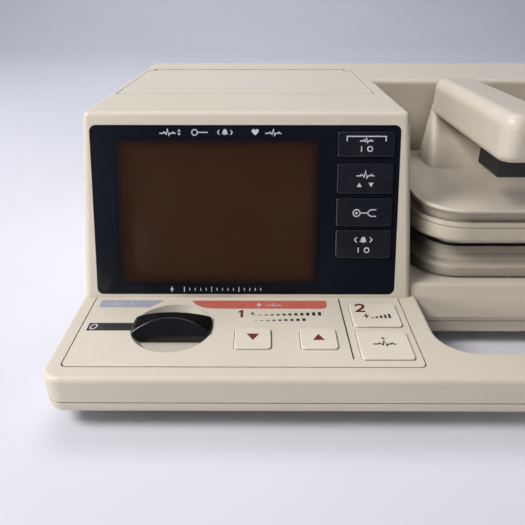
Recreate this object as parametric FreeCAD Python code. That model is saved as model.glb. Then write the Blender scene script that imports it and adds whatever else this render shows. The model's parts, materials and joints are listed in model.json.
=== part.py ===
import FreeCAD, Part
import math
import os

from FreeCAD import Placement, Rotation, Vector

# Portable bedside defibrillator and monitor with two docked paddles.
# Millimetres.  Origin: centre of the footprint, on the surface the feet
# stand on.  +X to the user's right, +Y to the rear, +Z up.

# ---------------------------------------------------------------- case
WIDTH = 392.0
DEPTH = 310.0
X_LEFT = -WIDTH / 2
X_RIGHT = WIDTH / 2
Y_FRONT = -DEPTH / 2
Y_BACK = DEPTH / 2
FOOT_HEIGHT = 8.0
Z_SEAM = 16.2
SEAM_GAP = 0.5
Z_PANEL = 30.0
Z_DECK = 36.0
Z_TOP = 127.0
WALL = 3.0
FACE_WALL = 4.0
FLOOR = FOOT_HEIGHT + WALL
FRONT_CORNER = 10.0
BACK_CORNER = 4.0
UNDER_ROUND = 6.0
EDGE_ROUND = 2.5
TOWER_ROUND = 3.5

# ---------------------------------------------------------------- tower
TOWER_MID_X = -103.2
TOWER_RIGHT_LOW = -9.2
TOWER_RIGHT_TOP = -14.0
TOWER_LEFT_LOW = -195.2
TOWER_LEFT_TOP = -191.2
FACE_FOOT_Y = -84.9
FACE_TILT = 18.17
BACK_FACE_Y = 154.0

# ------------------------------------------------ deck and rear housing
DECK_FRONT_Y = -87.6
DECK_EDGE_Y = -79.2
DECK_LEAN_Z = 19.0
HOUSING_FRONT_LOW = 55.0
HOUSING_FRONT_TOP = 58.0
HOUSING_RIGHT_LOW = 195.6
HOUSING_RIGHT_TOP = 194.2
HOUSING_OVERLAP_X = -30.0

# ---------------------------------------------- carry handle opening
GRIP_X0 = -6.0
GRIP_X1 = 169.0
GRIP_Y0 = -134.4
GRIP_Y1 = DECK_FRONT_Y
GRIP_CORNER = 18.0
GRIP_BACK_CORNER = 3.0
GRIP_ROUND = 2.0

# ------------------------------------------------ display and soft keys
BEZEL_HALF = 84.3
BEZEL_V0 = 1.85
BEZEL_V1 = 95.4
BEZEL_CORNER = 3.5
BEZEL_RECESS = 2.6
BEZEL_SET_BACK = 0.4
SCREEN_U0 = -71.5
SCREEN_U1 = 41.0
SCREEN_V0 = 7.5
SCREEN_V1 = 88.5
SCREEN_CORNER = 5.0
CRT_DEPTH = 12.0
CRT_NECK_R = 10.5
CRT_NECK_LENGTH = 44.0
TUBE_U = (SCREEN_U0 + SCREEN_U1) / 2
TUBE_V = (SCREEN_V0 + SCREEN_V1) / 2
TUBE_HALF_U = 59.0
TUBE_HALF_V = 45.0
TUBE_CORNER = 9.0
TUBE_FRONT = -5.2
TUBE_DOME_R = 520.0
FUNNEL_BACK = TUBE_FRONT - CRT_DEPTH - 76.0
SOFT_BOARD_W = -9.2
BOARD = 1.6
SWITCH_HALF = 3.0
KEY_ROUND = 0.7
SOFT_KEY_U0 = 50.0
SOFT_KEY_U1 = 81.0
SOFT_KEYS = {
    "key_recorder": (78.5, 92.0),
    "key_ecg_size": (58.7, 75.1),
    "key_lead": (40.7, 56.3),
    "key_alarm": (22.8, 38.8),
}
KEY_GAP = 0.35
KEY_PROUD = 1.0
KEY_FLANGE = 1.4
SOFT_KEY_FLANGE = 0.7

# --------------------------------------------------------- control panel
PANEL_X0 = -188.3
PANEL_X1 = -16.6
PANEL_Y0 = -146.3
PANEL_Y1 = -85.4
PANEL_RECESS = 1.5
PANEL_GROOVE = 0.6
PANEL_CORNER = 3.0
PANEL_KEYS = {
    "key_energy_down": (-107.7, -132.9, -89.2, -116.1),
    "key_energy_up": (-74.7, -132.9, -56.2, -116.1),
    "key_charge": (-46.2, -114.1, -20.6, -91.9),
    "key_sync": (-46.2, -140.9, -20.6, -118.3),
}
KNOB_X = -140.6
KNOB_Y = -113.8
DISH_R = 21.1
DISH_FLOOR_R = 18.0
DISH_DEPTH = 3.5
KNOB_R = 20.7
KNOB_RISE = 7.5
KNOB_FOOT_HALF = 9.0
KNOB_TOP_HALF = 1.9
KNOB_CLEAR = 0.3
KNOB_END_Z = Z_PANEL + 0.2
SHAFT_R = 3.0
SHAFT_TOP = Z_PANEL + 3.0
SWITCH_Z = 12.5
DISH_UNDER = Z_PANEL - 5.5
PANEL_BOARD_Z = 19.0
RUN_FIT = 0.05

# ---------------------------------------------------------------- paddles
PADDLE_WIDTH = 95.0
PADDLE_DEPTH = 120.0
PADDLE_FRONT_Y = -72.3
PADDLE_CORNER = 26.0
PADDLE_MID_X = {"left": 43.0, "right": 142.5}
DOCK_TOP = 52.5
DOCK_PROFILE = [(0.0, 43.5), (4.2, 45.6), (7.0, 48.8), (8.4, DOCK_TOP)]
DOCK_HOLLOW = [(4.0, 41.0), (11.6, 49.3)]
CONTACT_INSET = 12.0
ELECTRODE_Z = 53.2
PADDLE_Z = 58.4
PADDLE_SEAM = 67.8
PADDLE_BAND = 70.7
PADDLE_FLANGE = 76.7
PADDLE_TOP = 78.2
PADDLE_SIDE_GROOVE = 3.5
PADDLE_WALL = 2.5
NECK_FOOT_HALF = 22.0
NECK_TOP_HALF = 14.0
NECK_FOOT_Z = 74.7
NECK_TOP_Z = 112.0
NECK_FOOT_CORNER = 8.0
NECK_TOP_CORNER = 3.0
NECK_FOOT_Y0 = 9.0
NECK_FOOT_Y1 = 47.0
NECK_TOP_Y0 = 45.0
NECK_TOP_Y1 = 52.0
NECK_HOLLOW_Z = 98.0
NECK_WALL = 3.0
HANDLE_HALF = 15.0
HANDLE_Y0 = -77.0
HANDLE_Y1 = 52.5
HANDLE_Z0 = 105.5
HANDLE_Z1 = 130.0
HANDLE_ROUND = 7.0
HANDLE_UNDER_ROUND = 4.0
GLAND_Y = 34.0
GLAND_Z = 88.0
GLAND_R = 4.9
TRIGGER_HALF = 10.0
TRIGGER_Y0 = -65.0
TRIGGER_Y1 = -38.0
TRIGGER_Z0 = 94.0
TRIGGER_IN = 5.5
TRIGGER_GAP = 0.35

# --------------------------------------------------------------- recorder
DOOR_X0 = -186.0
DOOR_X1 = -24.0
DOOR_Y0 = 2.0
DOOR_PIN_Y = 109.3
DOOR_PIN_Z = 124.2
DOOR_BARREL_R = 2.8
DOOR_GAP = 0.7
DOOR_KNUCKLE_Y = 105.3
DOOR_SWING_GAP = 1.1
PIN_R = 1.2
CHASSIS_X0 = -182.0
CHASSIS_X1 = -28.0
CHASSIS_Z = 84.0
SHEET = 1.5
ROLL_Y = 72.0
ROLL_Z = 104.2
ROLL_R = 18.0
PLATEN_Y = 17.0
PLATEN_Z = 113.0
PLATEN_R = 5.0
GEAR_MODULE = 0.8
PLATEN_TEETH = 24
PINION_TEETH = 12
PINION_ANGLE = -60.0
GEAR_WIDTH = 4.0
PLATEN_SHAFT_R = 1.5
PINION_SHAFT_R = 1.0
SPOOL_R = 4.0
ROLLER_WALL_LEFT = -137.0
ROLLER_WALL_RIGHT = -38.5

# ---------------------------------------------------------------- battery
BATTERY = (104.0, 72.0, 82.0, 188.0, 153.4, 120.0)

# ------------------------------- blocks standing in for board components
# x, y, width, depth, height
BOARD_PARTS = [(-180, -50, 30, 12, 3), (-140, -50, 36, 14, 3.5), (-90, -50, 22, 22, 3),
               (-180, 80, 24, 24, 6), (-90, 60, 40, 14, 4), (-70, 100, 18, 30, 8),
               (-140, 100, 20, 20, 5)]

# ---------------------------------------------------------------- sockets
INLET_X = 24.0
INLET_Z = 46.0
PADDLE_SOCKET_X = 84.0
PADDLE_SOCKET_Z = 52.0
PADDLE_SOCKET_R = 14.0
ECG_Y = 96.0
ECG_Z = 48.0
ECG_R = 9.0
ECG_BORE_R = 6.0
ECG_BORE_DEPTH = 12.0

SCREW_R = 1.95
BOSS_HOLE_R = 2.0
SCREW_HEAD_R = 3.8
COUNTERBORE_R = 4.2
FOOT_R = 9.0
SCREWS = [(-182.0, -140.0), (20.0, -144.7), (182.0, -144.7),
          (-182.0, 144.0), (0.0, 144.0), (182.0, 144.0)]
FEET = [(-172.0, -118.0), (182.0, -112.0), (-172.0, 124.0), (172.0, 124.0)]

TILT = math.radians(FACE_TILT)
UP = Vector(0, 0, 1)
SIDEWAYS = Vector(1, 0, 0)
BACKWARDS = Vector(0, 1, 0)


# ------------------------------------------------------------ geometry help
def box(x0, y0, z0, x1, y1, z1):
    return Part.makeBox(x1 - x0, y1 - y0, z1 - z0, Vector(x0, y0, z0))


def cylinder(x, y, z, radius, height, axis=UP):
    return Part.makeCylinder(radius, height, Vector(x, y, z), axis)


def outline(x0, y0, x1, y1, r_front, r_back, z):
    """Closed rectangle with rounded corners, drawn at height z."""
    edges = []
    corners = [(x1, y0, -90, r_front), (x1, y1, 0, r_back),
               (x0, y1, 90, r_back), (x0, y0, 180, r_front)]
    ends = []
    for x, y, start, radius in corners:
        cx = x - radius if x == x1 else x + radius
        cy = y - radius if y == y1 else y + radius
        arc = []
        for turn in (0, 45, 90):
            a = math.radians(start + turn)
            arc.append(Vector(cx + radius * math.cos(a), cy + radius * math.sin(a), z))
        ends.append(arc)
    for i, arc in enumerate(ends):
        edges.append(Part.Arc(*arc).toShape())
        following = ends[(i + 1) % 4][0]
        if (following - arc[2]).Length > 1e-6:
            edges.append(Part.LineSegment(arc[2], following).toShape())
    return Part.Wire(edges)


def prism(x0, y0, x1, y1, z0, z1, r_front, r_back=None):
    """Upright block with rounded vertical edges."""
    back = r_front if r_back is None else r_back
    wire = outline(x0, y0, x1, y1, r_front, back, z0)
    return Part.Face(wire).extrude(Vector(0, 0, z1 - z0))


def rounded(shape, radius, choose):
    """Fillets the edges for which choose(bounding box) is true."""
    edges = [e for e in shape.Edges if choose(e.BoundBox)]
    return shape.makeFillet(radius, edges)


def level(z):
    return lambda b: abs(b.ZMin - z) < 0.01 and abs(b.ZMax - z) < 0.01


def join(shapes):
    first = shapes[0]
    return first.fuse(shapes[1:]).removeSplitter() if len(shapes) > 1 else first


def group(shapes):
    return Part.makeCompound(shapes)


def save(name, shape):
    os.makedirs("parts", exist_ok=True)
    shape.exportStep("parts/" + name + ".step")
    print(name, "solids", len(shape.Solids), "valid", shape.isValid(),
          "cm3", round(shape.Volume / 1000.0, 2))


def on_face(shape):
    """Moves a piece drawn flat (u, v, outwards) onto the tilted front face."""
    placed = shape.copy()
    turn = Rotation(Vector(1, 0, 0), 90.0 - FACE_TILT)
    placed.Placement = Placement(Vector(TOWER_MID_X, FACE_FOOT_Y, Z_PANEL), turn)
    return placed


# ------------------------------------------------------------ case volumes
def between(z, low, top):
    return low + (top - low) * (z - Z_PANEL) / (Z_TOP - Z_PANEL)


def frustum(section, z0, z1):
    wires = []
    for z in (z0, z1):
        x0, y0, x1, y1 = section(z)
        points = [Vector(x0, y0, z), Vector(x1, y0, z), Vector(x1, y1, z),
                  Vector(x0, y1, z), Vector(x0, y0, z)]
        wires.append(Part.makePolygon(points))
    return Part.makeLoft(wires, True, True)


def tower(inset, front):
    """Monitor housing, inset from its outer surface."""
    def section(z):
        face = FACE_FOOT_Y + (z - Z_PANEL) * math.tan(TILT)
        return (between(z, TOWER_LEFT_LOW, TOWER_LEFT_TOP) + inset,
                face + front / math.cos(TILT),
                between(z, TOWER_RIGHT_LOW, TOWER_RIGHT_TOP) - inset,
                BACK_FACE_Y - inset)
    return frustum(section, Z_PANEL - 8, Z_TOP - inset)


def housing(inset):
    """Raised housing behind the paddles."""
    def section(z):
        return (HOUSING_OVERLAP_X,
                between(z, HOUSING_FRONT_LOW, HOUSING_FRONT_TOP) + inset,
                between(z, HOUSING_RIGHT_LOW, HOUSING_RIGHT_TOP) - inset,
                BACK_FACE_Y - inset)
    return frustum(section, Z_PANEL - 8, Z_TOP - inset)


def grip_hole(outset, z0, z1):
    return prism(GRIP_X0 - outset, GRIP_Y0 - outset, GRIP_X1 + outset, GRIP_Y1 + outset,
                 z0, z1, GRIP_CORNER + outset, GRIP_BACK_CORNER + outset)


def slab(inset, z0, z1):
    whole = prism(X_LEFT + inset, Y_FRONT + inset, X_RIGHT - inset, Y_BACK - inset,
                  z0, z1, FRONT_CORNER - inset, max(BACK_CORNER - inset, 0.8))
    return whole


def grip_rim(z):
    """Picks the edges of the grip opening at height z."""
    def choose(b):
        return (level(z)(b) and b.XMin > GRIP_X0 - 1 and b.XMax < GRIP_X1 + 1
                and b.YMin > GRIP_Y0 - 1 and b.YMax < GRIP_Y1 + 1)
    return choose


def before_deck(x0, x1, wall):
    """Space in front of the deck's leaning front wall, set back by a wall thickness."""
    top_z = Z_DECK + 5
    slope = (DECK_EDGE_Y - DECK_FRONT_Y) / (Z_DECK - DECK_LEAN_Z)
    foot_y = DECK_FRONT_Y + wall * math.hypot(1, slope)
    top_y = foot_y + slope * (top_z - DECK_LEAN_Z)
    front_y = DECK_FRONT_Y - 4
    corners = [(front_y, DECK_LEAN_Z), (foot_y, DECK_LEAN_Z), (top_y, top_z), (front_y, top_z)]
    points = [Vector(x0, y, z) for y, z in corners]
    face = Part.Face(Part.makePolygon(points + points[:1]))
    return face.extrude(Vector(x1 - x0, 0, 0))


def outer_case():
    body = slab(0, FOOT_HEIGHT, Z_PANEL)
    body = rounded(body, UNDER_ROUND, level(FOOT_HEIGHT))
    body = rounded(body, EDGE_ROUND, level(Z_PANEL))
    body = body.cut(grip_hole(0, 0, Z_TOP))
    body = body.cut(before_deck(GRIP_X0, GRIP_X1, 0))
    body = rounded(body, GRIP_ROUND, grip_rim(Z_PANEL))
    body = rounded(body, GRIP_ROUND, grip_rim(FOOT_HEIGHT))
    deck = prism(HOUSING_OVERLAP_X, DECK_FRONT_Y, HOUSING_RIGHT_LOW, BACK_FACE_Y,
                 Z_PANEL - 10, Z_DECK, 6.0, BACK_CORNER)
    deck = deck.cut(before_deck(HOUSING_OVERLAP_X - 1, X_RIGHT + 1, 0))
    deck = rounded(deck, EDGE_ROUND, level(Z_DECK))
    main = tower(0, 0)
    main = rounded(main, TOWER_ROUND, lambda b: b.ZMax > Z_PANEL)
    rear = housing(0)
    rear = rounded(rear, TOWER_ROUND,
                   lambda b: b.ZMax > Z_PANEL and b.XMax > HOUSING_OVERLAP_X + 1)
    return join([body, deck, main, rear])


def case_cavity():
    low = slab(WALL, FLOOR, Z_PANEL - WALL)
    low = rounded(low, UNDER_ROUND - WALL, level(FLOOR))
    low = low.cut(grip_hole(WALL, 0, Z_TOP))
    low = low.cut(before_deck(GRIP_X0 - WALL, GRIP_X1 + WALL, WALL))
    deck = box(HOUSING_OVERLAP_X, DECK_FRONT_Y + WALL, Z_PANEL - 10,
               HOUSING_RIGHT_LOW - WALL, BACK_FACE_Y - WALL, Z_DECK - WALL)
    deck = deck.cut(before_deck(HOUSING_OVERLAP_X - 1, X_RIGHT + 1, WALL))
    return join([low, deck, tower(WALL, FACE_WALL), housing(WALL)])


def panel_plate(inset, z0, z1):
    return prism(PANEL_X0 + inset, PANEL_Y0 + inset, PANEL_X1 - inset, PANEL_Y1,
                 z0, z1, PANEL_CORNER, 0.5)


def panel_key(rect, gap, z0, z1):
    x0, y0, x1, y1 = rect
    return prism(x0 - gap, y0 - gap, x1 + gap, y1 + gap, z0, z1, 2.0 + gap)


def panel_openings():
    holes = [cylinder(KNOB_X, KNOB_Y, 20, DISH_R + 0.2, 20)]
    for rect in PANEL_KEYS.values():
        holes.append(panel_key(rect, KEY_GAP, 20, 40))
    return group(holes)


def soft_key(span, gap, w0, w1):
    return prism(SOFT_KEY_U0 - gap, span[0] - gap, SOFT_KEY_U1 + gap, span[1] + gap,
                 w0, w1, 1.2 + gap)


def boss(x, y, z0, z1, radius, hole):
    return cylinder(x, y, z0, radius, z1 - z0).cut(cylinder(x, y, z0 - 1, hole, z1 - z0 + 2))


def back_slots(x0, x1, z0, pitch, count, height):
    slots = []
    for i in range(count):
        z = z0 + i * pitch
        slots.append(box(x0, Y_BACK - 8, z, x1, Y_BACK + 2, z + height))
    return slots


def build_case():
    seam_top = Z_SEAM + SEAM_GAP / 2
    seam_low = Z_SEAM - SEAM_GAP / 2
    shell = outer_case().cut(case_cavity())
    upper = shell.common(box(-250, -200, seam_top, 250, 200, 200))
    lower = shell.common(box(-250, -200, 0, 250, 200, seam_low))
    boss_r = 4.5
    rib = 1.5
    for x, y in SCREWS:
        at_back = y > 0
        top = (Z_DECK if at_back else Z_PANEL) - WALL + 0.5
        upper = upper.fuse(boss(x, y, seam_top, top, boss_r, BOSS_HOLE_R))
        if at_back:
            upper = upper.fuse(box(x - rib, y + boss_r - 1, seam_top, x + rib,
                                   BACK_FACE_Y - WALL + 0.5, top))
        clear_r = BOSS_HOLE_R + 0.2
        lower = lower.fuse(boss(x, y, FOOT_HEIGHT, seam_top, boss_r + 1, clear_r))
        lower = lower.cut(cylinder(x, y, 0, clear_r, 20))
        lower = lower.cut(cylinder(x, y, 0, COUNTERBORE_R, FOOT_HEIGHT + WALL))
    lower = lower.fuse(seam_tongue()).cut(tongue_clearance(boss_r, rib)).removeSplitter()
    upper = upper.removeSplitter()
    upper = upper.cut(panel_plate(0, Z_PANEL - PANEL_RECESS, Z_PANEL + 5)
                      .cut(tower(-0.01, 0)))
    upper = upper.cut(panel_openings()).cut(group(display_openings()))
    upper = upper.cut(group(door_openings()))
    bx0, by0, bz0, bx1, by1, bz1 = BATTERY
    upper = upper.cut(box(bx0 - 0.5, Y_BACK - 10, bz0 - 0.5, bx1 + 0.5, Y_BACK + 5, bz1 + 0.5))
    speaker_slots = back_slots(-176, -124, 44, 5, 8, 2.4)
    cooling_slots = back_slots(8, 78, 74, 6, 7, 2.6)
    upper = upper.cut(group(speaker_slots + cooling_slots))
    upper = upper.cut(inlet_hole()).cut(paddle_socket_hole()).cut(ecg_hole())
    save("upper_case", upper)
    save("lower_case", lower)


def seam_tongue():
    """Rim on the lower shell that stands up inside the upper one."""
    inner = 4.2
    core = slab(inner, 12, 20).cut(grip_hole(inner, 0, 40))
    foot = slab(2.8, 12.5, Z_SEAM - 0.3).cut(grip_hole(2.8, 0, 40))
    lip = slab(3.2, Z_SEAM - 0.6, 18.5).cut(grip_hole(3.2, 0, 40))
    return [foot.cut(core), lip.cut(core)]


def tongue_clearance(boss_r, rib):
    """Space the tongue leaves round the screw bosses and their ribs."""
    z0 = Z_SEAM + SEAM_GAP / 2
    spaces = []
    for x, y in SCREWS:
        spaces.append(cylinder(x, y, z0, boss_r + 0.3, 5))
        if y > 0:
            spaces.append(box(x - rib - 0.5, y, z0, x + rib + 0.5, Y_BACK - WALL, 21))
    return group(spaces)


def display_openings():
    recess = prism(-BEZEL_HALF, BEZEL_V0, BEZEL_HALF, BEZEL_V1, -BEZEL_RECESS, 5, BEZEL_CORNER)
    ledge = 1.2
    through = prism(-BEZEL_HALF + ledge, BEZEL_V0 + 2.5, BEZEL_HALF - ledge, BEZEL_V1 - ledge,
                    -9, 5, BEZEL_CORNER)
    return [on_face(recess), on_face(through)]


def door_openings():
    gap = 0.5
    low = Z_TOP - 6
    lid = box(DOOR_X0 - gap, DOOR_Y0 - gap, low, DOOR_X1 + gap, DOOR_KNUCKLE_Y, Z_TOP + 5)
    knuckles = box(CHASSIS_X0 - 0.3, DOOR_KNUCKLE_Y - 1, low, CHASSIS_X1 + 0.3,
                   DOOR_PIN_Y + DOOR_BARREL_R + DOOR_GAP, Z_TOP + 5)
    return [lid, knuckles]


# ----------------------------------------------------------- rear sockets
def inlet_hole():
    return box(INLET_X - 14, Y_BACK - 12, INLET_Z - 10, INLET_X + 14, Y_BACK + 3, INLET_Z + 10)


def paddle_socket_hole():
    return cylinder(PADDLE_SOCKET_X, Y_BACK - 12, PADDLE_SOCKET_Z, PADDLE_SOCKET_R + 0.1, 16,
                    BACKWARDS)


def ecg_hole():
    return cylinder(X_LEFT - 3, ECG_Y, ECG_Z, ECG_R + 0.1, 12, SIDEWAYS)


def build_mains_inlet():
    wall_y = BACK_FACE_Y
    flange = box(INLET_X - 25, wall_y, INLET_Z - 11.2, INLET_X + 25, Y_BACK, INLET_Z + 11.2)
    body = box(INLET_X - 13.8, wall_y - 26, INLET_Z - 9.8, INLET_X + 13.8, wall_y, INLET_Z + 9.8)
    well = box(INLET_X - 12, wall_y - 17, INLET_Z - 8, INLET_X + 12, Y_BACK + 1, INLET_Z + 8)
    pins = []
    for dx, dz in ((-7, -2), (0, 2), (7, -2)):
        x = INLET_X + dx
        z = INLET_Z + dz
        pins.append(box(x - 1, wall_y - 24, z - 2, x + 1, wall_y - 4, z + 2))
    save("mains_inlet", join([body, flange]).cut(well).fuse(pins))


def build_paddle_socket():
    length = 18.0
    mouth_depth = 12.0
    contact_ring = 6.5
    shell = cylinder(PADDLE_SOCKET_X, Y_BACK - length, PADDLE_SOCKET_Z, PADDLE_SOCKET_R,
                     length, BACKWARDS)
    mouth = cylinder(PADDLE_SOCKET_X, Y_BACK - mouth_depth, PADDLE_SOCKET_Z,
                     PADDLE_SOCKET_R - 2, mouth_depth + 2, BACKWARDS)
    contacts = []
    for i in range(5):
        a = math.radians(72 * i + 18)
        contacts.append(cylinder(PADDLE_SOCKET_X + contact_ring * math.cos(a), Y_BACK - 16,
                                 PADDLE_SOCKET_Z + contact_ring * math.sin(a), 1.1, 11,
                                 BACKWARDS))
    save("paddle_cable_socket", shell.cut(mouth).fuse(contacts))


def build_ecg_socket():
    rim_x = X_LEFT + 0.6
    shell = cylinder(rim_x, ECG_Y, ECG_Z, ECG_R, ECG_BORE_DEPTH + 5, SIDEWAYS)
    mouth = cylinder(rim_x - 1, ECG_Y, ECG_Z, ECG_BORE_R, ECG_BORE_DEPTH + 1, SIDEWAYS)
    save("ecg_socket", shell.cut(mouth))


# ------------------------------------------------------- display assembly
def tube_outline(half_u, half_v, corner, w):
    return outline(TUBE_U - half_u, TUBE_V - half_v, TUBE_U + half_u, TUBE_V + half_v,
                   corner, corner, w)


def build_front():
    gap = 0.25
    back = -BEZEL_RECESS
    front = -BEZEL_SET_BACK
    plate = prism(-BEZEL_HALF + gap, BEZEL_V0 + gap, BEZEL_HALF - gap, BEZEL_V1 - gap,
                  back, front, BEZEL_CORNER - gap)
    plate = plate.cut(prism(SCREEN_U0, SCREEN_V0, SCREEN_U1, SCREEN_V1, -9, 3, SCREEN_CORNER))
    for span in SOFT_KEYS.values():
        plate = plate.cut(soft_key(span, KEY_GAP, -9, 3))
    save("display_bezel", on_face(plate))
    fit = 0.1
    pane = prism(SCREEN_U0 + fit, SCREEN_V0 + fit, SCREEN_U1 - fit, SCREEN_V1 - fit,
                 back, front, SCREEN_CORNER - fit)
    save("screen_filter", on_face(pane))


def build_tube():
    face_back = TUBE_FRONT - CRT_DEPTH
    face = Part.Face(tube_outline(TUBE_HALF_U, TUBE_HALF_V, TUBE_CORNER, face_back))
    face = face.extrude(Vector(0, 0, CRT_DEPTH))
    face = face.common(Part.makeSphere(TUBE_DOME_R,
                                       Vector(TUBE_U, TUBE_V, TUBE_FRONT - TUBE_DOME_R)))
    funnel = Part.makeLoft([tube_outline(TUBE_HALF_U, TUBE_HALF_V, TUBE_CORNER, face_back),
                            tube_outline(38, 31, 22, face_back - 40),
                            tube_outline(11.5, 11.5, 11, FUNNEL_BACK)], True, True)
    neck = cylinder(TUBE_U, TUBE_V, FUNNEL_BACK - CRT_NECK_LENGTH, CRT_NECK_R,
                    CRT_NECK_LENGTH + 1)
    save("crt_tube", on_face(join([face, funnel, neck])))

    clear = 0.4
    rim = 3.0
    frame = Part.Face(tube_outline(TUBE_HALF_U + rim, TUBE_HALF_V + rim, 6, -18))
    frame = frame.extrude(Vector(0, 0, 9))
    hole = Part.Face(tube_outline(TUBE_HALF_U + clear, TUBE_HALF_V + clear, 8, -30))
    save("crt_frame", on_face(frame.cut(hole.extrude(Vector(0, 0, 30)))))

    yoke_length = 27
    yoke = cylinder(TUBE_U, TUBE_V, FUNNEL_BACK - yoke_length, 24, yoke_length)
    yoke = yoke.cut(cylinder(TUBE_U, TUBE_V, FUNNEL_BACK - 30, CRT_NECK_R + 0.5, 40))
    save("crt_yoke", on_face(rounded(yoke, 4, lambda b: b.XLength > 40)))
    board_w = FUNNEL_BACK - 41
    board = box(TUBE_U - 24, TUBE_V - 14, board_w, TUBE_U + 24, TUBE_V + 24, board_w + BOARD)
    cup = cylinder(TUBE_U, TUBE_V, board_w - 9, 14, 11)
    socket = cylinder(TUBE_U, TUBE_V, board_w - 4, CRT_NECK_R + 0.1, 20)
    save("crt_neck_board", on_face(board.fuse(cup).cut(socket)))


def build_soft_keys():
    board = box(48.6, 20, SOFT_BOARD_W - BOARD, 83.5, 94, SOFT_BOARD_W)
    mid_u = (SOFT_KEY_U0 + SOFT_KEY_U1) / 2
    for low, high in SOFT_KEYS.values():
        mid_v = (low + high) / 2
        board = board.fuse(box(mid_u - SWITCH_HALF, mid_v - SWITCH_HALF, SOFT_BOARD_W - 0.1,
                               mid_u + SWITCH_HALF, mid_v + SWITCH_HALF, SOFT_BOARD_W + 2.6))
    save("soft_key_board", on_face(board))
    top = KEY_PROUD - BEZEL_SET_BACK
    for name, span in SOFT_KEYS.items():
        cap = soft_key(span, 0, -4.5, top)
        cap = rounded(cap, KEY_ROUND, level(top))
        flange = soft_key(span, SOFT_KEY_FLANGE, -5.2, -3.1)
        save(name, on_face(cap.fuse(flange)))


# --------------------------------------------------------- control panel
def build_panel():
    plate = panel_plate(PANEL_GROOVE, Z_PANEL - PANEL_RECESS, Z_PANEL)
    save("panel_overlay", plate.cut(panel_openings()))

    dish = cylinder(KNOB_X, KNOB_Y, DISH_UNDER, DISH_R + 0.1, Z_PANEL - DISH_UNDER)
    dish = dish.fuse(cylinder(KNOB_X, KNOB_Y, DISH_UNDER, DISH_R + 2.4, 2.3))
    bowl = Part.makeCone(DISH_FLOOR_R, DISH_R, DISH_DEPTH,
                         Vector(KNOB_X, KNOB_Y, Z_PANEL - DISH_DEPTH))
    shaft_hole = cylinder(KNOB_X, KNOB_Y, SWITCH_Z, SHAFT_R + RUN_FIT, 20)
    save("knob_dish", dish.cut(bowl).cut(shaft_hole))

    half = 14
    switch = box(KNOB_X - half, KNOB_Y - half, SWITCH_Z, KNOB_X + half, KNOB_Y + half,
                 SWITCH_Z + 8)
    switch = switch.fuse(cylinder(KNOB_X, KNOB_Y, SWITCH_Z + 7, 6, DISH_UNDER - SWITCH_Z - 7))
    shaft_foot = SWITCH_Z + 1.8
    switch = switch.cut(cylinder(KNOB_X, KNOB_Y, shaft_foot - 0.3, SHAFT_R + RUN_FIT, 20))
    save("rotary_switch", switch)
    save("knob_shaft", cylinder(KNOB_X, KNOB_Y, shaft_foot, SHAFT_R, SHAFT_TOP - shaft_foot))

    board = box(-112, -142, PANEL_BOARD_Z - BOARD, -18.5, -90, PANEL_BOARD_Z)
    for x0, y0, x1, y1 in PANEL_KEYS.values():
        mx = (x0 + x1) / 2
        my = (y0 + y1) / 2
        board = board.fuse(box(mx - SWITCH_HALF, my - SWITCH_HALF, PANEL_BOARD_Z - 0.1,
                               mx + SWITCH_HALF, my + SWITCH_HALF, PANEL_BOARD_Z + 4.2))
    save("panel_key_board", board)
    key_foot = 24.6
    key_top = Z_PANEL + KEY_PROUD
    for name, rect in PANEL_KEYS.items():
        cap = rounded(panel_key(rect, 0, key_foot, key_top), KEY_ROUND, level(key_top))
        save(name, cap.fuse(panel_key(rect, KEY_FLANGE, key_foot, key_foot + 2)))


def build_knob():
    """Arched bar with sloping sides, drawn on the axis and moved into place."""
    foot = Z_PANEL - DISH_DEPTH + KNOB_CLEAR
    crest = Z_PANEL + KNOB_RISE
    half = KNOB_R + 1
    reach = 15
    arc = Part.Arc(Vector(-half, -reach, KNOB_END_Z), Vector(0, -reach, crest),
                   Vector(half, -reach, KNOB_END_Z))
    rest = Part.makePolygon([Vector(half, -reach, KNOB_END_Z), Vector(half, -reach, foot),
                             Vector(-half, -reach, foot), Vector(-half, -reach, KNOB_END_Z)])
    arch = Part.Face(Part.Wire([arc.toShape()] + rest.Edges)).extrude(Vector(0, 2 * reach, 0))
    a = KNOB_FOOT_HALF
    b = KNOB_TOP_HALF
    section = [(-a, foot), (-a + 0.5, Z_PANEL), (-b, crest + 1), (b, crest + 1),
               (a - 0.5, Z_PANEL), (a, foot), (-a, foot)]
    bar = Part.Face(Part.makePolygon([Vector(-30, y, z) for y, z in section]))
    knob = arch.common(bar.extrude(Vector(60, 0, 0)))
    skirt = Part.makeCone(DISH_FLOOR_R - 0.4, KNOB_R, Z_PANEL - foot, Vector(0, 0, foot))
    knob = knob.common(skirt.fuse(cylinder(0, 0, Z_PANEL, KNOB_R, 20)))
    knob.translate(Vector(KNOB_X, KNOB_Y, 0))
    knob = knob.removeSplitter()
    knob = rounded(knob, 1.0, lambda q: q.ZMax > crest - 0.6 and q.XLength > 20)
    save("selector_knob", knob.cut(cylinder(KNOB_X, KNOB_Y, 10, SHAFT_R, SHAFT_TOP - 10)))


# ----------------------------------------------------------- paddle docks
def paddle_wire(side, inset, z):
    mid = PADDLE_MID_X[side]
    half = PADDLE_WIDTH / 2 - inset
    corner = PADDLE_CORNER - inset
    return outline(mid - half, PADDLE_FRONT_Y + inset, mid + half,
                   PADDLE_FRONT_Y + PADDLE_DEPTH - inset, corner, corner, z)


def paddle_outline(side, inset, z0, z1):
    return Part.Face(paddle_wire(side, inset, z0)).extrude(Vector(0, 0, z1 - z0))


def stepped(side, profile):
    """Solid whose outline steps in with height, through (inset, height) pairs."""
    wires = [paddle_wire(side, inset, z) for inset, z in profile]
    return join([Part.makeLoft(list(pair), True, True) for pair in zip(wires, wires[1:])])


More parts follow.
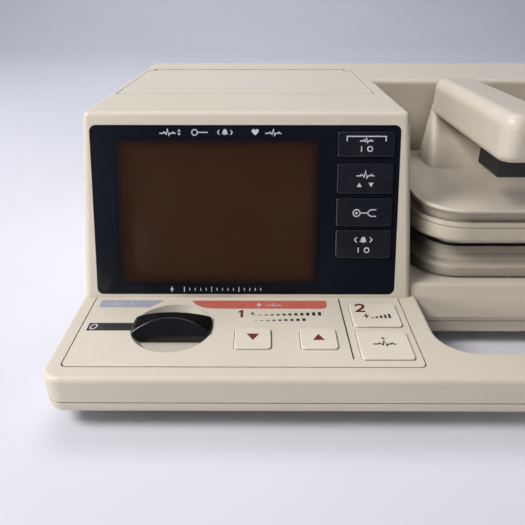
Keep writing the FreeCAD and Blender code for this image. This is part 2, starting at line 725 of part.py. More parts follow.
def build_dock(side):
    lip_z = DOCK_PROFILE[0][1]
    body = paddle_outline(side, 0, Z_DECK + 1.2, lip_z)
    body = body.fuse(stepped(side, DOCK_PROFILE)).removeSplitter()
    body = rounded(body, 2.0, level(lip_z))
    body = body.fuse(paddle_outline(side, 1.4, Z_DECK, Z_DECK + 1.5))
    hollow_inset, hollow_z = DOCK_HOLLOW[0]
    body = body.cut(paddle_outline(side, hollow_inset, Z_DECK - 1, hollow_z))
    body = body.cut(stepped(side, DOCK_HOLLOW))
    body = body.cut(paddle_outline(side, CONTACT_INSET, DOCK_TOP - 0.5, DOCK_TOP + 1))
    save("paddle_dock_" + side, body.removeSplitter())


def build_dock_contacts():
    save("dock_contacts", group([paddle_outline(side, CONTACT_INSET + 0.2, DOCK_TOP - 0.5,
                                                DOCK_TOP + 0.4) for side in PADDLE_MID_X]))


# ---------------------------------------------------------------- paddles
def neck(side, inset, z0, z1):
    """Neck between the plate and the handle: it leans back and narrows upwards."""
    mid = PADDLE_MID_X[side]

    def between(foot, top, z):
        return foot + (top - foot) * (z - NECK_FOOT_Z) / (NECK_TOP_Z - NECK_FOOT_Z)

    def section(z):
        half = between(NECK_FOOT_HALF, NECK_TOP_HALF, z) - inset
        corner = between(NECK_FOOT_CORNER, NECK_TOP_CORNER, z) - inset
        return outline(mid - half, between(NECK_FOOT_Y0, NECK_TOP_Y0, z) + inset,
                       mid + half, between(NECK_FOOT_Y1, NECK_TOP_Y1, z) - inset,
                       corner, corner, z)

    return Part.makeLoft([section(z0), section(z1)], True, True)


def build_paddle(side):
    mid = PADDLE_MID_X[side]
    pan = paddle_outline(side, 9, ELECTRODE_Z, PADDLE_Z)
    pan = rounded(pan, 1.6, level(ELECTRODE_Z))
    pan = pan.cut(paddle_outline(side, 11, ELECTRODE_Z + 1.5, PADDLE_Z + 1))
    save("paddle_electrode_" + side, pan)

    half_gap = 0.2
    base = paddle_outline(side, 0, PADDLE_Z, PADDLE_SEAM - half_gap)
    base = rounded(base, 2.5, level(PADDLE_Z))
    base = base.cut(paddle_outline(side, PADDLE_WALL, PADDLE_Z + PADDLE_WALL, PADDLE_SEAM + 1))
    save("paddle_base_" + side, base)

    band = paddle_outline(side, 0, PADDLE_SEAM + half_gap, PADDLE_BAND)
    waist = paddle_outline(side, PADDLE_SIDE_GROOVE, PADDLE_BAND - 0.5, PADDLE_FLANGE + 0.5)
    flange = paddle_outline(side, 0, PADDLE_FLANGE, PADDLE_TOP)
    flange = rounded(flange, 0.6, level(PADDLE_TOP))
    dish = Part.makeLoft([paddle_wire(side, 8.5, PADDLE_TOP - 2.4),
                          paddle_wire(side, 2.6, PADDLE_TOP + 0.01)], True, True)
    plate = join([band, waist, flange]).cut(dish)
    post = neck(side, 0, PADDLE_FLANGE - 2, NECK_TOP_Z)
    bar = prism(mid - HANDLE_HALF, HANDLE_Y0, mid + HANDLE_HALF, HANDLE_Y1, HANDLE_Z0,
                HANDLE_Z1, 9)
    bar = rounded(bar, HANDLE_ROUND, level(HANDLE_Z1))
    bar = rounded(bar, HANDLE_UNDER_ROUND, level(HANDLE_Z0))
    wall_x = mid + NECK_FOOT_HALF
    gland_depth = 6.0
    seat = cylinder(mid + NECK_TOP_HALF, GLAND_Y, GLAND_Z, 8.2, wall_x - mid - NECK_TOP_HALF,
                    SIDEWAYS)
    body = join([plate, post, bar, seat])
    body = body.cut(paddle_outline(side, PADDLE_SIDE_GROOVE + 2.6, PADDLE_SEAM, 73.2))
    body = body.cut(neck(side, NECK_WALL, PADDLE_FLANGE - 4, NECK_HOLLOW_Z))
    body = body.cut(prism(mid - HANDLE_HALF + 4, HANDLE_Y0 + 4, mid + HANDLE_HALF - 4,
                          HANDLE_Y1 - 3, HANDLE_Z0 + 9, HANDLE_Z1 - 4, 5))
    body = body.cut(box(mid - TRIGGER_HALF - TRIGGER_GAP, TRIGGER_Y0 - TRIGGER_GAP,
                        HANDLE_Z0 - 1, mid + TRIGGER_HALF + TRIGGER_GAP,
                        TRIGGER_Y1 + TRIGGER_GAP, HANDLE_Z0 + 10))
    body = body.cut(cylinder(wall_x - gland_depth - 4, GLAND_Y, GLAND_Z, GLAND_R + 0.1, 12,
                             SIDEWAYS))
    save("paddle_body_" + side, body)

    gland = cylinder(wall_x - gland_depth, GLAND_Y, GLAND_Z, GLAND_R, gland_depth + 0.2,
                     SIDEWAYS)
    gland = gland.fuse(cylinder(wall_x, GLAND_Y, GLAND_Z, 7.5, 2.5, SIDEWAYS))
    sleeve = Part.makeCone(6.4, 5.0, 9.0, Vector(wall_x + 2, GLAND_Y, GLAND_Z), SIDEWAYS)
    gland = gland.fuse(sleeve).cut(cylinder(wall_x - gland_depth - 2, GLAND_Y, GLAND_Z, 3.2, 22,
                                       SIDEWAYS))
    save("paddle_gland_" + side, gland)

    key = box(mid - TRIGGER_HALF, TRIGGER_Y0, TRIGGER_Z0, mid + TRIGGER_HALF, TRIGGER_Y1,
              HANDLE_Z0 + TRIGGER_IN)
    key = rounded(key, 2.5, lambda b: b.ZMax < HANDLE_Z0)
    save("discharge_trigger_" + side, key)


# --------------------------------------------------------------- recorder
def gear(teeth, bore, phase):
    """Involute spur gear on the X axis at the origin, starting at x = 0."""
    pitch_r = GEAR_MODULE * teeth / 2
    base_r = pitch_r * math.cos(math.radians(20))
    tip_r = pitch_r + 0.9 * GEAR_MODULE
    root_r = pitch_r - 1.15 * GEAR_MODULE
    start_r = max(root_r, base_r)
    backlash = 0.12 * GEAR_MODULE
    half_pitch = math.pi / 2 / teeth - backlash / pitch_r / 2

    def spread(r):
        t = math.sqrt(max((r / base_r) ** 2 - 1, 0))
        return t - math.atan(t)

    points = []
    for i in range(teeth):
        mid = math.radians(phase) + 2 * math.pi * i / teeth
        radii = [start_r + (tip_r - start_r) * k / 3 for k in range(4)]
        flank = [(r, half_pitch + spread(pitch_r) - spread(r)) for r in radii]
        points.append((root_r, mid - flank[0][1]))
        points += [(r, mid - a) for r, a in flank]
        points += [(r, mid + a) for r, a in reversed(flank)]
        points.append((root_r, mid + flank[0][1]))
    loop = [Vector(0, r * math.cos(a), r * math.sin(a)) for r, a in points]
    clean = [loop[0]]
    for p in loop[1:]:
        if (p - clean[-1]).Length > 1e-4:
            clean.append(p)
    disc = Part.Face(Part.makePolygon(clean + [clean[0]])).extrude(Vector(GEAR_WIDTH, 0, 0))
    return disc.cut(cylinder(-1, 0, 0, bore, GEAR_WIDTH + 2, SIDEWAYS))


def build_chassis(pinion_y, pinion_z):
    front_y = DOOR_Y0 + 2
    back_y = 106.0
    wall_top = 118.0
    tray = box(CHASSIS_X0, front_y, CHASSIS_Z, CHASSIS_X1, back_y, wall_top)
    tray = tray.cut(box(CHASSIS_X0 + SHEET, front_y + SHEET, CHASSIS_Z + SHEET,
                        CHASSIS_X1 - SHEET, back_y - SHEET, 130))
    for x in (ROLLER_WALL_LEFT, ROLLER_WALL_RIGHT):
        tray = tray.fuse(box(x, front_y + 1, CHASSIS_Z, x + SHEET, 94, wall_top + 1))
    ear_r = 2.4
    for x in (CHASSIS_X0, CHASSIS_X1 - SHEET):
        ear = box(x, back_y - 2, wall_top - 2, x + SHEET, DOOR_PIN_Y + ear_r, DOOR_PIN_Z - 1)
        ear = ear.fuse(cylinder(x, DOOR_PIN_Y, DOOR_PIN_Z, ear_r, SHEET, SIDEWAYS))
        tray = tray.fuse(ear)
        tray = tray.cut(cylinder(x - 1, DOOR_PIN_Y, DOOR_PIN_Z, PIN_R, SHEET + 2, SIDEWAYS))
    start = ROLLER_WALL_LEFT - 1
    span = ROLLER_WALL_RIGHT + SHEET + 1 - start
    tray = tray.cut(cylinder(start, PLATEN_Y, PLATEN_Z, PLATEN_SHAFT_R + RUN_FIT, span, SIDEWAYS))
    tray = tray.cut(cylinder(start, ROLL_Y, ROLL_Z, SPOOL_R + RUN_FIT, span, SIDEWAYS))
    tray = tray.cut(cylinder(ROLLER_WALL_RIGHT - 1, pinion_y, pinion_z, PINION_SHAFT_R + 0.4,
                             SHEET + 2, SIDEWAYS))
    save("recorder_chassis", tray.removeSplitter())


def build_recorder():
    a = math.radians(PINION_ANGLE)
    reach = GEAR_MODULE * (PLATEN_TEETH + PINION_TEETH) / 2
    pinion_y = PLATEN_Y + reach * math.cos(a)
    pinion_z = PLATEN_Z + reach * math.sin(a)
    build_chassis(pinion_y, pinion_z)

    shaft_start = ROLLER_WALL_LEFT - 0.5
    roller = cylinder(-131, PLATEN_Y, PLATEN_Z, PLATEN_R, 88, SIDEWAYS)
    roller = roller.fuse(cylinder(shaft_start, PLATEN_Y, PLATEN_Z, PLATEN_SHAFT_R, 106, SIDEWAYS))
    save("platen_roller", roller)
    gear_x = ROLLER_WALL_RIGHT + SHEET + 1
    wheel = gear(PLATEN_TEETH, PLATEN_SHAFT_R, PINION_ANGLE)
    wheel.translate(Vector(gear_x, PLATEN_Y, PLATEN_Z))
    save("platen_gear", wheel)
    pinion = gear(PINION_TEETH, 0.5, PINION_ANGLE + 180 + 180.0 / PINION_TEETH)
    pinion = pinion.fuse(cylinder(-12, 0, 0, PINION_SHAFT_R, 15, SIDEWAYS))
    pinion.translate(Vector(gear_x, pinion_y, pinion_z))
    save("motor_pinion", pinion)
    motor = cylinder(ROLLER_WALL_RIGHT - 24, pinion_y, pinion_z, 9, 24, SIDEWAYS)
    bearing = cylinder(gear_x - 13, pinion_y, pinion_z, PINION_SHAFT_R + RUN_FIT, 20, SIDEWAYS)
    save("recorder_motor", motor.cut(bearing))
    head_top = PLATEN_Z - PLATEN_R - 0.5
    head = box(-129, PLATEN_Y - 5, PLATEN_Z - 9, -66, PLATEN_Y + 5, head_top)
    head = head.fuse(box(-125, PLATEN_Y - 3, CHASSIS_Z + SHEET, -70, PLATEN_Y + 3, head_top - 2))
    save("print_head", head)
    roll = cylinder(-132, ROLL_Y, ROLL_Z, ROLL_R, 90, SIDEWAYS)
    roll = roll.fuse(cylinder(shaft_start, ROLL_Y, ROLL_Z, SPOOL_R, 101, SIDEWAYS))
    save("paper_roll", roll)
    build_door()


def build_door():
    barrel_x0 = CHASSIS_X0 + SHEET + 0.4
    barrel_x1 = CHASSIS_X1 - SHEET - 0.4
    lid = prism(DOOR_X0, DOOR_Y0, DOOR_X1, DOOR_PIN_Y, Z_TOP - WALL, Z_TOP, 2, 0.3)
    lid = lid.fuse(cylinder(barrel_x0, DOOR_PIN_Y, DOOR_PIN_Z, DOOR_BARREL_R,
                            barrel_x1 - barrel_x0, SIDEWAYS))
    lid = lid.cut(cylinder(DOOR_X0 - 1, DOOR_PIN_Y, DOOR_PIN_Z, PIN_R + RUN_FIT,
                           DOOR_X1 - DOOR_X0 + 2, SIDEWAYS))
    behind = DOOR_KNUCKLE_Y - DOOR_SWING_GAP
    lid = lid.cut(box(DOOR_X0 - 1, behind, 100, barrel_x0, DOOR_PIN_Y + 5, 140))
    lid = lid.cut(box(barrel_x1, behind, 100, DOOR_X1 + 1, DOOR_PIN_Y + 5, 140))
    save("recorder_door", lid.removeSplitter())
    save("recorder_door_pin", cylinder(CHASSIS_X0, DOOR_PIN_Y, DOOR_PIN_Z, PIN_R,
                                       CHASSIS_X1 - CHASSIS_X0, SIDEWAYS))


# -------------------------------------------------------------- internals
def build_battery():
    x0, y0, z0, x1, y1, z1 = BATTERY
    wall = 1.6
    play = 0.4
    out = play + wall
    bay = box(x0 - out, y0 - out, z0 - out, x1 + out, BACK_FACE_Y - WALL - 0.1, z1 + out)
    save("battery_bay", bay.cut(box(x0 - play, y0 - play, z0 - play, x1 + play, Y_BACK + 5,
                                    z1 + play)))
    pack = rounded(box(x0, y0, z0, x1, y1, z1), 1.2, lambda b: b.YLength > 50)
    mid = (x0 + x1) / 2
    pull = box(mid - 16, y1 - 4, z0 + 12, mid + 16, y1 + 1, z1 - 12)
    save("battery_pack", pack.cut(pull))


def build_shock_parts():
    """Capacitor on its chassis, charging transformer, coil and relay."""
    shelf = FLOOR + SHEET
    can_x = 18
    can_y = 90
    can_z = 46
    can_r = 30
    plate = box(-6, 50, FLOOR, 188, 136, shelf)
    saddles = [box(x, can_y - 24, FLOOR, x + 6, can_y + 24, 26) for x in (24, 112)]
    cradle = cylinder(0, can_y, can_z, can_r + 0.1, 150, SIDEWAYS)
    save("inner_chassis", plate.fuse(saddles).cut(cradle))
    can = rounded(cylinder(can_x, can_y, can_z, can_r, 106, SIDEWAYS), 2,
                  lambda b: b.XLength < 1)
    studs = [cylinder(can_x + 106, can_y + dy, can_z, 5, 6, SIDEWAYS) for dy in (-12, 12)]
    save("energy_capacitor", can.fuse(studs))

    save("charging_transformer", transformer(140, 66, shelf))
    coil = cylinder(58, 104, 84, 32, 22).cut(cylinder(58, 104, 80, 13, 40))
    save("discharge_inductor", rounded(coil, 4, lambda b: b.XLength > 60))
    save("transfer_relay", box(-8, 98, shelf, 8, 130, shelf + 30))


def transformer(x, y, z):
    """Core with two windows and a winding round its middle limb."""
    core = box(x, y, z, x + 44, y + 42, z + 38)
    for window in (x + 10, x + 26):
        core = core.cut(box(window, y - 6, z + 8, window + 8, y + 54, z + 30))
    fit = 0.2
    x0 = x + 10 + fit
    x1 = x + 34 - fit
    z0 = z + 8 + fit
    z1 = z + 30 - fit
    winding = box(x0, y - 6, z0, x1, y + 48, z1)
    winding = winding.cut(box(x + 18, y - 16, z + 8, x + 26, y + 54, z + 30))
    back = box(x0, y + 42.3, z0, x1, y + 48, z1)
    front = box(x0, y - 6, z0, x1, y - 0.3, z1)
    return core.fuse(winding.fuse(back).fuse(front))


def build_speaker():
    x = -150
    z = 61
    rim_y = BACK_FACE_Y - WALL - 4.6
    rim = cylinder(x, rim_y, z, 24, 4.5, BACKWARDS)
    cone = Part.makeCone(12, 22, 12, Vector(x, rim_y - 12, z), BACKWARDS)
    magnet = cylinder(x, rim_y - 19, z, 13, 8, BACKWARDS)
    save("speaker", join([rim, cone, magnet]))


def build_main_board():
    under = FLOOR + 2
    top = under + BOARD
    board = box(-186, -66, under, -40, 136, top)
    for x, y, width, depth, height in BOARD_PARTS:
        board = board.fuse(box(x, y, top - 0.1, x + width, y + depth, top + height))
    for x in (-180, -48):
        for y in (-58, 130):
            board = board.fuse(cylinder(x, y, FLOOR, 3, 3))
    save("main_board", board)


def build_feet_and_screws():
    feet = [rounded(cylinder(x, y, 0, FOOT_R, FOOT_HEIGHT), 1.5, level(0)) for x, y in FEET]
    save("rubber_feet", group(feet))
    head_z = FOOT_HEIGHT + 0.4
    head_height = 2.6
    slot_top = head_z + 1
    screws = []
    for x, y in SCREWS:
        head = cylinder(x, y, head_z, SCREW_HEAD_R, head_height)
        shank = cylinder(x, y, head_z + head_height - 0.1, SCREW_R, 13)
        slot = box(x - 3, y - 0.5, FOOT_HEIGHT, x + 3, y + 0.5, slot_top)
        cross = box(x - 0.5, y - 3, FOOT_HEIGHT, x + 0.5, y + 3, slot_top)
        screws.append(head.fuse(shank).cut(slot).cut(cross))
    save("case_screws", group(screws))


build_case()
build_mains_inlet()
build_paddle_socket()
build_ecg_socket()
build_front()
build_tube()
build_soft_keys()
build_panel()
build_knob()
for side_name in PADDLE_MID_X:
    build_dock(side_name)
    build_paddle(side_name)
build_dock_contacts()
build_recorder()
build_battery()
build_shock_parts()
build_speaker()
build_main_board()
build_feet_and_screws()
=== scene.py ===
import json
import math

import bmesh
import bpy
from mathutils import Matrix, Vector


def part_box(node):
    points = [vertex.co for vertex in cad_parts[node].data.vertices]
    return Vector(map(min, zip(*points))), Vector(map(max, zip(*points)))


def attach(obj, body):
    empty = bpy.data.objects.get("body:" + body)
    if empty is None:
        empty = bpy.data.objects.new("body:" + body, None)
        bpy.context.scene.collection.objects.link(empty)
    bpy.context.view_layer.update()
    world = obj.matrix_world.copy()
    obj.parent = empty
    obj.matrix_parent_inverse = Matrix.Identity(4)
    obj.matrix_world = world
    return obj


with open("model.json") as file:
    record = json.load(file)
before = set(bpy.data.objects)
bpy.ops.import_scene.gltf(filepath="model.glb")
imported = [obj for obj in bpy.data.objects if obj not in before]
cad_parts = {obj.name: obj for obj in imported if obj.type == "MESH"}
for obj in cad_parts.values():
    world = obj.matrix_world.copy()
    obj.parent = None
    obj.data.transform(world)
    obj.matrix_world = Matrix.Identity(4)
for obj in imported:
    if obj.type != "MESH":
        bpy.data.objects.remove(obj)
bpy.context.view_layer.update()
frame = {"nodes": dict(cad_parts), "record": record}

MM = 0.001
NODES = frame["nodes"]
RECORD = frame["record"]
JOINTS = {j["name"]: j for j in RECORD["behaviour"]["joints"]}


# ------------------------------------------------------------------ materials
class Surface:
    """One procedural material, built up node by node."""

    def __init__(self, name, roughness=0.5, metallic=0.0, specular=0.5, coat=0.0):
        self.material = bpy.data.materials.new(name)
        self.material.use_nodes = True
        self.tree = self.material.node_tree
        self.shader = self.tree.nodes["Principled BSDF"]
        self.shader.inputs["Roughness"].default_value = roughness
        self.shader.inputs["Metallic"].default_value = metallic
        self.shader.inputs["Specular IOR Level"].default_value = specular
        self.shader.inputs["Coat Weight"].default_value = coat
        self.shader.inputs["Coat Roughness"].default_value = 0.06
        self.place = self.tree.nodes.new("ShaderNodeTexCoord").outputs["Object"]
        self.normal = None

    def new(self, kind, **values):
        node = self.tree.nodes.new(kind)
        for key, value in values.items():
            setattr(node, key, value)
        return node

    def link(self, a, b):
        self.tree.links.new(a, b)

    def stretched(self, scale):
        """Object coordinates scaled differently along each axis, for drawn-out grain."""
        mapping = self.new("ShaderNodeMapping")
        mapping.inputs["Scale"].default_value = scale
        self.link(self.place, mapping.inputs["Vector"])
        return mapping.outputs["Vector"]

    def noise(self, scale, detail=3.0, roughness=0.5, place=None):
        """Cloudy noise between 0 and 1, gathered round 0.5."""
        node = self.new("ShaderNodeTexNoise")
        node.inputs["Scale"].default_value = scale
        node.inputs["Detail"].default_value = detail
        node.inputs["Roughness"].default_value = roughness
        self.link(place or self.place, node.inputs["Vector"])
        return node.outputs["Fac"]

    def cells(self, scale):
        """Distance to the nearest of a scatter of points."""
        node = self.new("ShaderNodeTexVoronoi", feature="F1")
        node.inputs["Scale"].default_value = scale
        self.link(self.place, node.inputs["Vector"])
        return node.outputs["Distance"]

    def remap(self, value, low, high, start=0.0, end=1.0):
        """Carries low..high to start..end and holds the ends."""
        node = self.new("ShaderNodeMapRange")
        node.inputs["From Min"].default_value = low
        node.inputs["From Max"].default_value = high
        node.inputs["To Min"].default_value = start
        node.inputs["To Max"].default_value = end
        self.link(value, node.inputs["Value"])
        return node.outputs["Result"]

    def mix(self, factor, first, second):
        """Blend of two colours; each input is a number, a colour or another node's output."""
        node = self.new("ShaderNodeMix", data_type="RGBA", blend_type="MIX")
        for value, socket in ((factor, node.inputs[0]), (first, node.inputs[6]),
                              (second, node.inputs[7])):
            if isinstance(value, (int, float)):
                socket.default_value = value
            elif isinstance(value, tuple):
                socket.default_value = (*value, 1.0)
            else:
                self.link(value, socket)
        return node.outputs[2]

    def math(self, operation, first, second):
        node = self.new("ShaderNodeMath", operation=operation)
        for value, socket in ((first, node.inputs[0]), (second, node.inputs[1])):
            if isinstance(value, (int, float)):
                socket.default_value = value
            else:
                self.link(value, socket)
        return node.outputs[0]

    def edges(self, radius):
        """1 on sharp outside and inside edges, 0 on open surfaces."""
        bevel = self.new("ShaderNodeBevel", samples=4)
        bevel.inputs["Radius"].default_value = radius
        flat = self.new("ShaderNodeNewGeometry")
        dot = self.new("ShaderNodeVectorMath", operation="DOT_PRODUCT")
        self.link(bevel.outputs["Normal"], dot.inputs[0])
        self.link(flat.outputs["Normal"], dot.inputs[1])
        away = self.math("SUBTRACT", 1.0, dot.outputs["Value"])
        return self.remap(away, 0.02, 0.25)

    def crevice_shade(self, distance):
        """Ambient-occlusion mask for painted shade: 1 deep in grooves, corners and gaps where
        shade falls, 0 in the open.
        """
        node = self.new("ShaderNodeAmbientOcclusion", samples=6)
        node.inputs["Distance"].default_value = distance
        return self.remap(node.outputs["AO"], 0.3, 0.85, 1.0, 0.0)

    def color(self, value):
        """Base colour, plain or from a node."""
        if isinstance(value, tuple):
            self.shader.inputs["Base Color"].default_value = (*value, 1.0)
        else:
            self.link(value, self.shader.inputs["Base Color"])

    def rough(self, value):
        self.link(value, self.shader.inputs["Roughness"])

    def bump(self, height, distance, strength=1.0):
        """Adds a bump on top of any earlier one."""
        node = self.new("ShaderNodeBump")
        node.inputs["Strength"].default_value = strength
        node.inputs["Distance"].default_value = distance
        self.link(height, node.inputs["Height"])
        if self.normal is not None:
            self.link(self.normal, node.inputs["Normal"])
        self.normal = node.outputs["Normal"]
        self.link(self.normal, self.shader.inputs["Normal"])


def tone(color, factor):
    """The same colour, lighter or darker."""
    return tuple(min(max(c * factor, 0.0), 1.0) for c in color)


def moulded(name, base, aged, roughness=0.42, grain=1500.0, grain_depth=0.045 * MM,
            reach=4.0 * MM, shade_and_dirt_tone=0.42, cover=(0.35, 0.8)):
    """Textured ABS moulding: uneven ageing, fine spark grain, rubbed edges, grime and painted
    shade in corners.

    reach is how far the corner darkening spreads, the tone argument after it sets how dark it gets
    and cover how much of it shows; the darkening follows ambient occlusion, so it is part grime
    and part painted shade.
    """
    s = Surface(name, specular=0.45)
    ageing = s.remap(s.noise(7.0, 4.0, 0.6), 0.36, 0.66)
    color = s.mix(ageing, base, aged)
    mottle = s.remap(s.noise(60.0, 5.0, 0.65), 0.3, 0.7, 0.0, 0.35)
    color = s.mix(mottle, color, tone(base, 0.93))
    specks = s.remap(s.cells(420.0), 0.06, 0.11, 0.30, 0.0)
    dirty = s.remap(s.noise(26.0, 4.0, 0.6), 0.5, 0.7)
    color = s.mix(s.math("MULTIPLY", specks, dirty), color, tone(aged, 0.55))
    streak_place = s.stretched((1.0, 7.0, 7.0))
    scuff = s.remap(s.noise(120.0, 6.0, 0.7, streak_place), 0.60, 0.72)
    color = s.mix(s.math("MULTIPLY", scuff, 0.16), color, tone(base, 1.12))
    wear = s.remap(s.noise(45.0, 4.0), 0.35, 0.65, 0.15, 0.75)
    rubbed = s.math("MULTIPLY", s.edges(1.1 * MM), wear)
    color = s.mix(rubbed, color, tone(base, 1.10))
    patches = s.remap(s.noise(70.0, 4.0), 0.3, 0.7, *cover)
    # Painted shade mixed with grime: ambient occlusion darkens grooves, corners and gaps, broken
    # up by patchy noise.
    grime_and_shade = s.math("MULTIPLY", s.crevice_shade(reach), patches)
    color = s.mix(grime_and_shade, color, tone(aged, shade_and_dirt_tone))
    s.color(color)
    polish = s.remap(s.noise(16.0, 4.0, 0.6), 0.3, 0.7, roughness - 0.06, roughness + 0.09)
    s.rough(s.math("SUBTRACT", polish, s.math("MULTIPLY", scuff, 0.08)))
    s.bump(s.noise(grain, 2.0, 0.6), grain_depth, 0.55)
    s.bump(s.noise(24.0, 2.0, 0.4), 0.25 * MM, 0.12)
    return s.material


def glossy(name, base, dust, roughness=0.07, coat=0.3):
    """Polished black moulding with finger smudges, fine scratches and a little dust."""
    s = Surface(name, specular=0.5, coat=coat)
    specks = s.remap(s.cells(650.0), 0.03, 0.07, 1.0, 0.0)
    patchy = s.remap(s.noise(30.0, 4.0, 0.6), 0.48, 0.72)
    film = s.remap(s.noise(14.0, 5.0, 0.65), 0.42, 0.78, 0.0, 0.10)
    color = s.mix(s.math("MULTIPLY", specks, s.math("MULTIPLY", patchy, 0.55)), base, dust)
    s.color(s.mix(film, color, dust))
    smudge = s.remap(s.noise(38.0, 5.0, 0.65), 0.42, 0.68, roughness, roughness + 0.12)
    hair = s.remap(s.noise(260.0, 3.0, 0.6, s.stretched((1.0, 14.0, 14.0))), 0.62, 0.70, 0.0, 0.14)
    s.rough(s.math("ADD", smudge, hair))
    s.bump(s.noise(18.0, 2.0, 0.4), 0.4 * MM, 0.05)
    return s.material


def satin(name, base, roughness=0.45, variation=0.12):
    """Plain satin moulding or film, gently uneven."""
    s = Surface(name, specular=0.45)
    cloud = s.remap(s.noise(22.0, 4.0, 0.6), 0.3, 0.7)
    fine = s.remap(s.noise(300.0, 3.0, 0.6), 0.3, 0.7, 0.0, 0.5)
    color = s.mix(cloud, tone(base, 1.0 + variation), tone(base, 1.0 - variation))
    s.color(s.mix(fine, color, tone(base, 1.0 - variation * 0.7)))
    s.rough(s.remap(s.noise(34.0, 4.0, 0.6), 0.3, 0.7, roughness - 0.06, roughness + 0.08))
    s.bump(s.noise(900.0, 2.0, 0.6), 0.02 * MM, 0.5)
    return s.material


def metal(name, base, roughness=0.28, brushed=None):
    """Bare metal; brushed gives the stretch of the grain along an axis."""
    s = Surface(name, metallic=1.0)
    place = s.stretched(brushed) if brushed else None
    grain = s.noise(700.0 if brushed else 240.0, 4.0, 0.6, place)
    stain = s.remap(s.noise(30.0, 5.0, 0.6), 0.35, 0.7)
    color = s.mix(stain, base, tone(base, 0.82))
    s.color(s.mix(s.remap(grain, 0.3, 0.7, 0.0, 0.4), color, tone(base, 0.75)))
    s.rough(s.remap(grain, 0.3, 0.7, roughness - 0.07, roughness + 0.12))
    s.bump(grain, 0.012 * MM, 0.5)
    return s.material


def rubber(name, base):
    """Matt black rubber with a pale bloom in places."""
    s = Surface(name, specular=0.3)
    bloom = s.remap(s.noise(55.0, 5.0, 0.65), 0.42, 0.72)
    s.color(s.mix(bloom, base, tone(base, 2.2)))
    s.rough(s.remap(s.noise(90.0, 3.0), 0.3, 0.7, 0.62, 0.82))
    s.bump(s.noise(1300.0, 2.0, 0.6), 0.05 * MM, 0.6)
    return s.material


def wound_wire(name, base, axis_scale):
    """Close turns of enamelled wire under varnish."""
    s = Surface(name, metallic=0.85)
    wave = s.new("ShaderNodeTexWave", wave_type="BANDS", bands_direction="DIAGONAL")
    wave.inputs["Scale"].default_value = axis_scale
    wave.inputs["Distortion"].default_value = 0.6
    s.link(s.place, wave.inputs["Vector"])
    turns = wave.outputs["Fac"]
    s.color(s.mix(turns, tone(base, 0.45), base))
    s.rough(s.remap(turns, 0.0, 1.0, 0.45, 0.25))
    s.bump(turns, 0.2 * MM, 0.9)
    return s.material


def circuit_board(name, base, copper):
    """Solder mask over faint straight tracks and pads."""
    s = Surface(name, specular=0.5)
    track = s.new("ShaderNodeTexBrick")
    track.inputs["Scale"].default_value = 90.0
    track.inputs["Mortar Size"].default_value = 0.03
    s.link(s.place, track.inputs["Vector"])
    lines = track.outputs["Fac"]
    color = s.mix(s.remap(s.noise(25.0, 4.0), 0.3, 0.7), base, tone(base, 0.7))
    color = s.mix(s.math("MULTIPLY", lines, 0.6), color, tone(base, 1.9))
    pads = s.remap(s.cells(180.0), 0.10, 0.13, 1.0, 0.0)
    s.color(s.mix(pads, color, copper))
    s.rough(s.remap(pads, 0.0, 1.0, 0.38, 0.25))
    s.bump(lines, 0.03 * MM, 0.6)
    return s.material


def tinted_pane(name):
    """Smoke acrylic, mostly dark, through which the tube's face just shows."""
    s = Surface(name, specular=0.5, coat=0.4)
    across = s.new("ShaderNodeSeparateXYZ")
    s.link(s.new("ShaderNodeTexCoord").outputs["Generated"], across.inputs[0])
    inside = 1.0
    for axis, soft in (("X", 0.055), ("Z", 0.07)):
        near = s.remap(across.outputs[axis], 0.005, soft)
        far = s.remap(across.outputs[axis], 0.995, 1.0 - soft)
        inside = s.math("MULTIPLY", inside, s.math("MULTIPLY", near, far))
    smear = s.remap(s.noise(12.0, 5.0, 0.65), 0.4, 0.75, 0.0, 0.35)
    brown = s.mix(smear, (0.052, 0.021, 0.0105), (0.066, 0.034, 0.022))
    s.color(s.mix(inside, (0.006, 0.007, 0.010), brown))
    s.rough(s.remap(s.noise(30.0, 5.0, 0.65), 0.42, 0.72, 0.05, 0.17))
    s.link(s.remap(inside, 0.0, 1.0, 0.97, 0.52), s.shader.inputs["Alpha"])
    s.bump(s.noise(16.0, 2.0, 0.4), 0.3 * MM, 0.04)
    return s.material


def phosphor_glass(name):
    """The tube: grey glass with a brown phosphor behind it."""
    s = Surface(name, specular=0.5)
    cloud = s.remap(s.noise(16.0, 3.0, 0.5), 0.3, 0.7)
    fine = s.remap(s.noise(900.0, 3.0, 0.6), 0.3, 0.7, 0.0, 0.4)
    color = s.mix(cloud, (0.20, 0.115, 0.070), (0.155, 0.090, 0.058))
    s.color(s.mix(fine, color, (0.13, 0.078, 0.052)))
    s.rough(s.remap(s.noise(60.0, 3.0), 0.3, 0.7, 0.16, 0.26))
    s.bump(s.noise(1200.0, 2.0), 0.01 * MM, 0.3)
    return s.material


def paper(name):
    """Thermal chart paper with a fine fibre."""
    s = Surface(name, specular=0.25)
    fibre = s.noise(700.0, 5.0, 0.7)
    s.color(s.mix(s.remap(fibre, 0.3, 0.7), (0.80, 0.79, 0.75), (0.70, 0.69, 0.65)))
    s.rough(s.remap(fibre, 0.3, 0.7, 0.62, 0.78))
    s.bump(fibre, 0.03 * MM, 0.5)
    return s.material


def ink(name, base, fade):
    """Screen-printed ink, slightly thin in places."""
    s = Surface(name, specular=0.4)
    thin = s.remap(s.noise(420.0, 4.0, 0.65), 0.45, 0.75, 0.0, 0.5)
    patch = s.remap(s.noise(40.0, 4.0, 0.6), 0.35, 0.7, 0.0, 0.25)
    color = s.mix(thin, base, fade)
    s.color(s.mix(patch, color, fade))
    s.rough(s.remap(s.noise(120.0, 3.0), 0.3, 0.7, 0.36, 0.5))
    s.bump(s.noise(1400.0, 2.0), 0.01 * MM, 0.4)
    return s.material


CASE = (0.660, 0.600, 0.505)
CASE_AGED = (0.620, 0.555, 0.440)
COPPER = (0.62, 0.30, 0.13)

